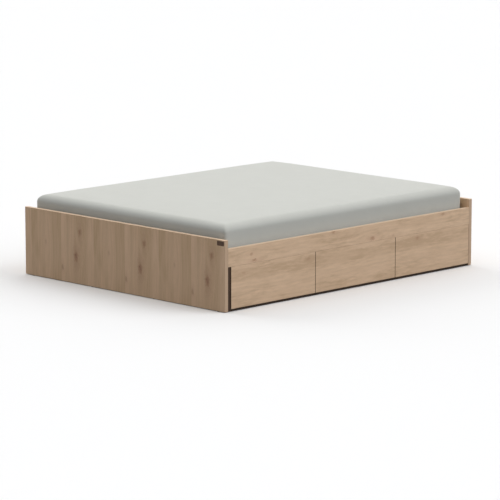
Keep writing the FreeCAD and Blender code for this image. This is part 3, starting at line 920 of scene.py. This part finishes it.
def screw_tree(material):
    """Tree: pan-head screws with a drive cross."""
    sizes = {"Head Sides": 24, "Recess Reach": 0.5, "Recess Width": 0.25, "Recess Depth": 0.5}
    wires, given, result = fitting_tree("screws", sizes)
    skirt = turned(wires, given["Head Sides"], 1.0, HEAD_SHOULDER, 0.0, HEAD_SKIRT)
    dome = turned(wires, given["Head Sides"], HEAD_SHOULDER, HEAD_CROWN, HEAD_SKIRT, 1.0)
    recess = cross(wires, given, given["Recess Depth"], face=1.0)
    tip = turned(wires, SMALL_SIDES, TIP_RADIUS, 1.0, -1.0, TIP_HEIGHT - 1)
    stem = bar(wires, SMALL_SIDES, 1.0, TIP_HEIGHT - 1, 0.0)
    heads = placed(wires, given["Places"], cut(wires, merged(wires, [skirt, dome]), recess), "head")
    shanks = placed(wires, given["Places"], merged(wires, [tip, stem]), "shank")
    return finish_tree(wires, result, [heads, shanks], material)


def cam_tree(material):
    """Tree: cam locks with a rim and a drive cross."""
    sizes = {"Sides": 32, "Rim": 0.14, "Sink": 0.06, "Recess Reach": 0.5, "Recess Width": 0.2}
    wires, given, result = fitting_tree("cam_locks", sizes)
    drum = bar(wires, given["Sides"], 1.0, -1.0, 0.0)
    inside, sink = wires.minus(1.0, given["Rim"]), given["Sink"]
    dish = bar(wires, given["Sides"], inside, wires.minus(0.0, sink), sink)
    cams = cut(wires, drum, [dish, *cross(wires, given, CAM_CROSS)])
    return finish_tree(wires, result, [placed(wires, given["Places"], cams, "size")], material)


def bolt_tree(material):
    """Tree: collared bolts that the cam locks pull on."""
    wires, given, result = fitting_tree("cam_bolts", {"Sides": 16})
    steps = [bar(wires, given["Sides"], *step) for step in BOLT_STEPS]
    bolts = placed(wires, given["Places"], merged(wires, steps), "size")
    return finish_tree(wires, result, [bolts], material)


def glide_tree(material):
    """Tree: round floor glides with a sloped foot and a nail hole."""
    wires, given, result = fitting_tree("glides", {"Sides": 28, "Chamfer": 0.5, "Foot": 0.85})
    chamfer = given["Chamfer"]
    puck = bar(wires, given["Sides"], 1.0, wires.minus(chamfer, 1.0), 0.0)
    slope = turned(wires, given["Sides"], 1.0, given["Foot"], 0.0, chamfer)
    inner, outer = wires.minus(chamfer, NAIL_DEPTH), wires.total(chamfer, NAIL_DEPTH)
    hole = bar(wires, SMALL_SIDES, NAIL_HOLE, inner, outer)
    pads = placed(wires, given["Places"], cut(wires, merged(wires, [puck, slope]), [hole]), "size")
    return finish_tree(wires, result, [pads], material)


def staple_tree(material):
    """Tree: wire staples that hold the tapes."""
    wires, given, result = fitting_tree("staples", {"Width": 0.01, "Wire": 0.0005, "Leg": 0.006})
    half = wires.times(given["Width"], 0.5)
    standing = bar(wires, WIRE_SIDES, given["Wire"], wires.minus(0.0, half), half)
    crown = wires.out("GeometryNodeTransform", {"Geometry": standing, "Rotation": (0.0, math.pi / 2, 0.0)})
    leg = bar(wires, WIRE_SIDES, given["Wire"], wires.minus(0.0, given["Leg"]), 0.0)
    legs = [moved(wires, leg, x=wires.times(half, side)) for side in (1.0, -1.0)]
    staples = [placed(wires, given["Places"], part, "size") for part in (crown, *legs)]
    return finish_tree(wires, result, staples, material)


def fit(piece, body, slot, *nodes):
    """Put a finished piece on its body in place of CAD nodes."""
    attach(piece, body)
    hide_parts(*nodes)


def closed_mesh(name, made):
    """A mesh from a closed shape, with its faces turned outward."""
    bmesh.ops.recalc_face_normals(made, faces=made.faces)
    mesh = bpy.data.meshes.new(name)
    made.to_mesh(mesh)
    made.free()
    return mesh


def tape_mesh(name, sag):
    """Woven tapes that hang a little between the slats they are stapled to."""
    slats = slat_rows()
    stations = []
    for (start, end), following in zip(slats, slats[1:] + [None]):
        stations += [(start, 0.0), (end, 0.0)]
        if following:
            gap = following[0] - end
            stations += [(end + gap * along, sag * depth) for along, depth in TAPE_SAG]
    made = bmesh.new()
    for points in solids_of(name):
        low, high = points.min(0), points.max(0)
        corners = ((low[X], low[Z]), (high[X], low[Z]), (high[X], high[Z]), (low[X], high[Z]))
        rings = [[made.verts.new((x, y, z - drop)) for x, z in corners] for y, drop in stations]
        for this, following in zip(rings, rings[1:]):
            for side in range(4):
                after = (side + 1) % 4
                made.faces.new((this[side], this[after], following[after], following[side]))
        made.faces.new(rings[0][::-1])
        made.faces.new(rings[-1])
    return closed_mesh("tapes", made)


def rolled_steps(low, high, low_roll, high_roll, step, turns):
    """Places along one side of the mattress, close together where its edges roll."""
    rises = [math.tan(math.radians(45) * number / turns) for number in range(1, turns + 1)]
    start, end = low + low_roll, high - high_roll
    steps = max(2, round((end - start) / step))
    flat = [start + (end - start) * number / steps for number in range(steps + 1)]
    before = [start - low_roll * rise for rise in reversed(rises)]
    return before + flat + [end + high_roll * rise for rise in rises]


def rolled(value, low, high, low_roll, high_roll):
    """The nearest place inside the rolls, the roll, and how far out a place lies as a share of it."""
    core = min(max(value, low + low_roll), high - high_roll)
    roll = high_roll if value > core else low_roll
    return core, roll, (value - core) / roll


def mattress_mesh(low, high, make, slack):
    """A closed cover of even quads with rolled edges, drawn-in sides and a crowned top."""
    inset = make.roll_inset
    room = make.trim + slack
    spans = (
        (low.x + room, high.x - room, inset, inset),
        (low.y + room, high.y - room, inset, inset),
        (low.z + slack, high.z - slack - make.crown, make.under_roll, make.roll_height),
    )
    sides = [rolled_steps(*span, make.step, make.roll_steps) for span in spans]
    counts = [len(side) - 1 for side in sides]
    middle = [(span[0] + span[1]) / 2 for span in spans]
    half = [(span[1] - span[0]) / 2 for span in spans]
    made = bmesh.new()
    known = {}

    def vert(key):
        """The rounded place of one grid point on the outside of the block."""
        if key not in known:
            found = [rolled(side[number], *span) for side, number, span in zip(sides, key, spans)]
            out = [far for _, _, far in found]
            plan = (abs(out[X]) ** make.squareness + abs(out[Y]) ** make.squareness) ** (1 / make.squareness)
            size = math.hypot(plan, out[Z])
            out = [far / size for far in out]
            spot = [core + roll * far for (core, roll, _), far in zip(found, out)]
            across, lengthways = ((spot[axis] - middle[axis]) / half[axis] for axis in (X, Y))
            up = (spot[Z] - spans[Z][0]) / (2 * half[Z])
            waist = make.draw_in * math.sin(math.pi * up)
            spot[X] -= waist * out[X] * (1 - lengthways ** WAIST_FADE)
            spot[Y] -= waist * out[Y] * (1 - across ** WAIST_FADE)
            spot[Z] += make.crown * up * (1 - across ** CROWN_FADE) * (1 - lengthways ** CROWN_FADE)
            known[key] = made.verts.new(spot)
        return known[key]

    for axis in (X, Y, Z):
        one, other = [number for number in (X, Y, Z) if number != axis]
        for end, a, b in product((0, counts[axis]), range(counts[one]), range(counts[other])):
            loop = []
            for key_a, key_b in ((a, b), (a + 1, b), (a + 1, b + 1), (a, b + 1)):
                key = [end] * 3
                key[one], key[other] = key_a, key_b
                loop.append(vert(tuple(key)))
            made.faces.new(loop).smooth = True
    return closed_mesh("mattress_cover", made)


def points_of(mesh):
    """The points of a mesh, one in each row."""
    found = np.empty(len(mesh.vertices) * 3)
    mesh.vertices.foreach_get("co", found)
    return found.reshape(-1, 3)


def swell(piece, make, seat):
    """Fill the cover by cloth simulation, hold its underside, and cap how far each point swells outward."""
    mesh = piece.data
    start = points_of(mesh)
    held = piece.vertex_groups.new(name="held")
    held.add([int(number) for number in np.flatnonzero(start[:, Z] < seat)], 1.0, "REPLACE")
    cloth = piece.modifiers.new("Swell", "CLOTH")
    for name, value in COVER_CLOTH.items():
        setattr(cloth.settings, name, value)
    cloth.settings.vertex_group_mass = "held"
    cloth.settings.uniform_pressure_force = make.pressure
    cloth.settings.effector_weights.gravity = 0.0
    cloth.collision_settings.use_collision = False
    cloth.point_cache.frame_start = 1
    cloth.point_cache.frame_end = make.frames
    for number in range(1, make.frames + 1):
        bpy.context.scene.frame_set(number)
    end = points_of(piece.evaluated_get(bpy.context.evaluated_depsgraph_get()).to_mesh())
    outward = np.array([vert.normal[:] for vert in mesh.vertices])
    swelling = np.maximum(((end - start) * outward).sum(1), 0.0)
    swelling = make.limit * np.tanh(swelling / make.limit)
    pairs = np.array([edge.vertices[:] for edge in mesh.edges])
    beside = np.bincount(pairs.ravel())
    for _ in range(make.smoothing):
        near = np.bincount(pairs.ravel(), swelling[pairs[:, ::-1].ravel()])
        swelling = (swelling + near / beside) / 2
    piece.modifiers.remove(cloth)
    piece.vertex_groups.remove(held)
    mesh.vertices.foreach_set("co", (start + outward * swelling[:, None]).ravel())
    mesh.update()
    bpy.context.scene.frame_set(1)


# Stage


def bare(owner):
    """The wiring of a world or material with no nodes yet."""
    owner.use_nodes = True
    owner.node_tree.nodes.clear()
    return Wiring(owner.node_tree)


def looked_at(wires):
    """1 for what is looked at, straight or in metal or glass, and 0 for what only gives light."""
    ray = wires.node("ShaderNodeLightPath").outputs
    return wires.most(ray["Is Camera Ray"], ray["Is Glossy Ray"], ray["Is Transmission Ray"])


def set_camera(scene, make):
    """A camera at the set place, turn and lift."""
    camera = link("Camera", bpy.data.cameras.new("Camera"))
    turn, lift = make.turn, make.lift
    back = Vector((math.sin(turn) * math.cos(lift), -math.cos(turn) * math.cos(lift), math.sin(lift)))
    camera.location = make.camera_place
    camera.rotation_euler = (-back).to_track_quat("-Z", "Y").to_euler()
    camera.data.sensor_width = SENSOR_WIDTH
    camera.data.lens = make.lens
    camera.data.clip_end = FARTHEST_SEEN
    scene.camera = camera


def set_light(scene, make):
    """A dome that is brightest overhead, and three soft lamps."""
    scene.world = bpy.data.worlds.new("Studio")
    wires = bare(scene.world)
    rise = wires.parts(wires.node("ShaderNodeTexCoord").outputs["Generated"])[Z]
    level = wires.times(wires.most(rise, 0.0), make.dome)
    dome = wires.out("ShaderNodeBackground", {"Color": WHITE, "Strength": level})
    white = wires.out("ShaderNodeBackground", {"Color": WHITE, "Strength": 1.0})
    both = wires.out("ShaderNodeMixShader", {0: looked_at(wires), 1: dome, 2: white})
    wires.node("ShaderNodeOutputWorld", {"Surface": both})
    lamps = {
        "Key": (make.key, make.key_from),
        "Left": (make.left, make.left_from),
        "Back": (make.back, make.back_from),
    }
    for name, (strength, start) in lamps.items():
        lamp = bpy.data.lights.new(name, "SUN")
        lamp.energy = strength * math.pi
        lamp.angle = make.spread
        link(name, lamp).rotation_euler = Vector(start).to_track_quat("Z", "Y").to_euler()


def lay_floor(make):
    """A wide pale floor that keeps the bed's shadow."""
    reach = make.floor_half
    corners = [(-reach, -reach, 0.0), (reach, -reach, 0.0), (reach, reach, 0.0), (-reach, reach, 0.0)]
    mesh = bpy.data.meshes.new("Floor")
    mesh.from_pydata(corners, [], [(0, 1, 2, 3)])
    material = bpy.data.materials.new("floor")
    wires = bare(material)
    bounce, seen = (
        wires.out("ShaderNodeBsdfDiffuse", {"Color": tint}) for tint in (make.floor_bounce, make.floor_seen)
    )
    both = wires.out("ShaderNodeMixShader", {0: looked_at(wires), 1: bounce, 2: seen})
    wires.node("ShaderNodeOutputMaterial", {"Surface": both})
    mesh.materials.append(material)
    floor = link("Floor", mesh)


# Operators


class BED_OT_dress_oak_boards(bpy.types.Operator):
    """Oak on the end panels, the side rail, the closed side and the drawer fronts"""

    bl_idname = "bed.dress_oak_boards"
    bl_label = "Oak boards"

    def execute(self, context):
        oak = context.scene.bed_oak
        dress(oak_upright(oak), "foot_panel", "head_panel")
        fronts = [f"{drawer}_front" for drawer in DRAWERS]
        # The lying boards' ends take the light brown: painted shade in the gaps between the drawer fronts.
        dress(oak_lying(oak, context.scene.bed_boards.brown_light), "side_rail", "side_panel", *fronts)
        return {"FINISHED"}


class BED_OT_dress_bay_boards(bpy.types.Operator):
    """Dark brown on the cheek, a darker brown on the base rail as painted shade under the drawers, linen
    print on the dividers and the bay's back, with dark brown front edges on the dividers as painted shade in
    the gaps between the drawer fronts
    """

    bl_idname = "bed.dress_bay_boards"
    bl_label = "Drawer bay boards"

    def execute(self, context):
        boards = context.scene.bed_boards
        light, dark, low = boards.brown_light, boards.brown_dark, boards.brown_low_painted_shade
        dress(plain_wood("brown_upright", light, dark, order=(Y, Z, X), relief=0.0002), "foot_cheek")
        # The base rail takes the dark and the low brown, darker than the cheek: painted shade under the
        # drawer fronts.
        dress(plain_wood("brown_rail_painted_shade", dark, low, order=(Z, Y, X), relief=0.0002), "base_rail")
        dress(linen_board("bay_board", boards.carcass), "bay_back")
        # The dividers' front edges take the dark brown: painted shade seen through the gaps between the
        # drawer fronts.
        dress(linen_board("divider_board", boards.carcass, dark), "divider_1", "divider_2")
        return {"FINISHED"}


class BED_OT_dress_drawer_boxes(bpy.types.Operator):
    """Linen print on the drawer sides, backs and bottoms"""

    bl_idname = "bed.dress_drawer_boxes"
    bl_label = "Drawer boxes"

    def execute(self, context):
        board = linen_board("drawer_board", context.scene.bed_boards.drawer)
        for drawer in DRAWERS:
            dress(board, *[f"{drawer}_{part}" for part in ("side_left", "side_right", "back", "bottom")])
        return {"FINISHED"}


class BED_OT_dress_slats(bpy.types.Operator):
    """Pale wood on the slats and the middle beam"""

    bl_idname = "bed.dress_slats"
    bl_label = "Slats and beam"

    def execute(self, context):
        boards = context.scene.bed_boards
        light, dark = boards.slat_light, boards.slat_dark
        slats = plain_wood("slat_wood", light, dark, order=(Y, X, Z), relief=0.0003)
        dress(slats, "slats_left", "slats_right")
        dress(plain_wood("beam_wood", light, dark, order=(X, Y, Z), relief=0.0004), "centre_beam")
        return {"FINISHED"}


class BED_OT_dress_metal(bpy.types.Operator):
    """Zinc on the angles, brackets and runners, paint on the legs, plastic on their feet and a satin plate"""

    bl_idname = "bed.dress_metal"
    bl_label = "Metal and plastic"

    def execute(self, context):
        make = context.scene.bed_fittings
        zinc = skinned("zinc_steel", make.zinc, metallic=1.0, roughness=0.42, spread=0.14)
        dress(zinc, "slat_angle_left", "slat_angle_right", "corner_brackets", "beam_hangers")
        drawn = (0.12, 1.0, 1.0)
        channel = skinned("runner_steel", make.zinc, metallic=1.0, roughness=0.34, spread=0.1, stretch=drawn)
        for drawer in DRAWERS:
            dress(channel, *[f"{drawer}_runner_{part}" for part in ("outer", "middle", "inner")])
        paint = skinned("leg_paint", make.leg, metallic=0.0, roughness=0.48, spread=0.2)
        dress(paint, "centre_legs")
        plastic = skinned("foot_plastic", make.glide, metallic=0.0, roughness=0.55, spread=0.25)
        dress(plastic, "leg_feet")
        brushed = {"stretch": (0.1, 1.0, 1.0), "gloss": 0.12}
        plate = skinned("plate_brown", make.badge, metallic=0.0, roughness=0.5, spread=0.22, **brushed)
        dress(plate, "badge_plate")
        return {"FINISHED"}


class BED_OT_make_screws(bpy.types.Operator):
    """Pan-head screws with a drive cross, on the frame and on each drawer"""

    bl_idname = "bed.make_screws"
    bl_label = "Screws"

    def execute(self, context):
        make = context.scene.bed_fittings
        tree = screw_tree(skinned("screw_steel", make.screw, metallic=1.0, roughness=0.36, spread=0.15))
        sizes = {
            "Head Sides": make.head_sides,
            "Recess Reach": make.recess_reach,
            "Recess Width": make.recess_width,
            "Recess Depth": make.recess_depth,
        }
        held = {"frame": ("angle_screws", "bracket_screws", "carcass_screws", "runner_screws")}
        held.update({drawer: (f"{drawer}_screws",) for drawer in DRAWERS})
        for body, nodes in held.items():
            piece = grow(f"{body}_cross_screws", tree, screw_places(nodes), sizes)
            fit(piece, body, "screw_steel", *nodes)
        return {"FINISHED"}


class BED_OT_make_cam_locks(bpy.types.Operator):
    """Cam locks and their bolts in the drawer sides"""

    bl_idname = "bed.make_cam_locks"
    bl_label = "Cam locks"

    def execute(self, context):
        make = context.scene.bed_fittings
        steel = skinned("cam_zinc", make.screw, metallic=1.0, roughness=0.4, spread=0.2)
        cams_tree, bolts_tree = cam_tree(steel), bolt_tree(steel)
        for drawer in DRAWERS:
            cams, bolts = cam_places(drawer)
            depth = cams["size"][0][Z]
            sizes = {
                "Rim": make.cam_rim,
                "Sink": make.cam_sink / depth,
                "Recess Reach": make.recess_reach,
                "Recess Width": make.recess_width,
            }
            for piece in (
                grow(f"{drawer}_cams", cams_tree, cams, sizes),
                grow(f"{drawer}_cam_bolts", bolts_tree, bolts, {}),
            ):
                fit(piece, drawer, "screw_steel", f"{drawer}_cam_locks")
        return {"FINISHED"}


class BED_OT_make_glides(bpy.types.Operator):
    """Round glides under the standing boards"""

    bl_idname = "bed.make_glides"
    bl_label = "Floor glides"

    def execute(self, context):
        make = context.scene.bed_fittings
        tree = glide_tree(skinned("glide_plastic", make.glide, metallic=0.0, roughness=0.5, spread=0.25))
        solids = solids_of("floor_glides")
        size = np.ptp(solids[0], axis=0)
        radius, height, chamfer = size[X] / 2, size[Z], make.glide_chamfer
        foot = unit(Z, height / 2 - chamfer)
        rows = [(middle_of(points) - foot, unit(Z, -1), (radius, radius, height)) for points in solids]
        sizes = {"Chamfer": chamfer / height, "Foot": 1 - chamfer / radius}
        piece = grow("round_glides", tree, columns(rows, "place", "outward", "size"), sizes)
        fit(piece, "frame", "glide_plastic", "floor_glides")
        return {"FINISHED"}


class BED_OT_make_tapes(bpy.types.Operator):
    """Woven tapes under the slats, stapled to each slat"""

    bl_idname = "bed.make_tapes"
    bl_label = "Slat tapes"

    def execute(self, context):
        make = context.scene.bed_fittings
        tapes = link("woven_tapes", tape_mesh("slat_tapes", make.tape_sag))
        webbing = woven("webbing", make.webbing, make.tape_thread, roughness=0.85, sheen=0.1)
        tapes.data.materials.append(webbing)
        fit(tapes, "frame", "webbing", "slat_tapes")
        edges = np.round(slat_rows(), STAPLE_DIGITS)
        rows = []
        for points in solids_of("slat_tapes"):
            across, low = middle_of(points)[X], points[:, Z].min()
            rows += [((across, along, low), unit(Z, -1), EVEN) for along in edges.mean(1)]
        tree = staple_tree(bpy.data.materials["screw_steel"])
        sizes = {"Width": make.staple_width, "Wire": make.staple_wire}
        staples = grow("tape_staples", tree, columns(rows, "place", "outward", "size"), sizes)
        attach(staples, "frame")
        return {"FINISHED"}


class BED_OT_make_mattress(bpy.types.Operator):
    """Padded mattress in a plain woven cover"""

    bl_idname = "bed.make_mattress"
    bl_label = "Mattress"

    def execute(self, context):
        make = context.scene.bed_mattress
        low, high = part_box("mattress")
        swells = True
        piece = link("padded_mattress", mattress_mesh(low, high, make, make.slack if swells else 0.0))
        if swells:
            swell(piece, make, low.z + make.under_roll)
        cover = woven("mattress_cover", make.cover, make.thread, roughness=0.92, sheen=0.12)
        piece.data.materials.append(cover)
        smooth = piece.modifiers.new("Smooth", "SUBSURF")
        smooth.levels = smooth.render_levels = 1
        fit(piece, "frame", "mattress_cover", "mattress")
        return {"FINISHED"}


class BED_OT_set_stage(bpy.types.Operator):
    """Camera, soft studio light and a pale floor"""

    bl_idname = "bed.set_stage"
    bl_label = "Stage"

    def execute(self, context):
        scene = context.scene
        scene.view_settings.view_transform = "Standard"
        set_camera(scene, scene.bed_stage)
        set_light(scene, scene.bed_stage)
        lay_floor(scene.bed_stage)
        return {"FINISHED"}


OPERATORS = (
    BED_OT_dress_oak_boards,
    BED_OT_dress_bay_boards,
    BED_OT_dress_drawer_boxes,
    BED_OT_dress_slats,
    BED_OT_dress_metal,
    BED_OT_make_screws,
    BED_OT_make_cam_locks,
    BED_OT_make_glides,
    BED_OT_make_tapes,
    BED_OT_make_mattress,
    BED_OT_set_stage,
)

SETTINGS = {
    "bed_oak": BedOak,
    "bed_boards": BedBoards,
    "bed_fittings": BedFittings,
    "bed_mattress": BedMattress,
    "bed_stage": BedStage,
}


class BED_PT_bed(bpy.types.Panel):
    """The bed's steps and settings"""

    bl_idname = "BED_PT_bed"
    bl_label = "Storage bed"
    bl_space_type = "VIEW_3D"
    bl_region_type = "UI"
    bl_category = "Bed"

    def draw(self, context):
        for operator in OPERATORS:
            self.layout.operator(operator.bl_idname)
        for name, group in SETTINGS.items():
            column = self.layout.box().column()
            column.label(text=group.__doc__)
            for label in group.__annotations__:
                column.prop(getattr(context.scene, name), label)


CLASSES = (*SETTINGS.values(), *OPERATORS, BED_PT_bed)


def register():
    for kind in CLASSES:
        bpy.utils.register_class(kind)
    for name, group in SETTINGS.items():
        setattr(bpy.types.Scene, name, PointerProperty(type=group))


def unregister():
    for name in SETTINGS:
        delattr(bpy.types.Scene, name)
    for kind in reversed(CLASSES):
        bpy.utils.unregister_class(kind)


def main():
    """Make every piece in order."""
    register()
    for operator in OPERATORS:
        family, step = operator.bl_idname.split(".")
        getattr(getattr(bpy.ops, family), step)()


if __name__ == "__main__":
    main()
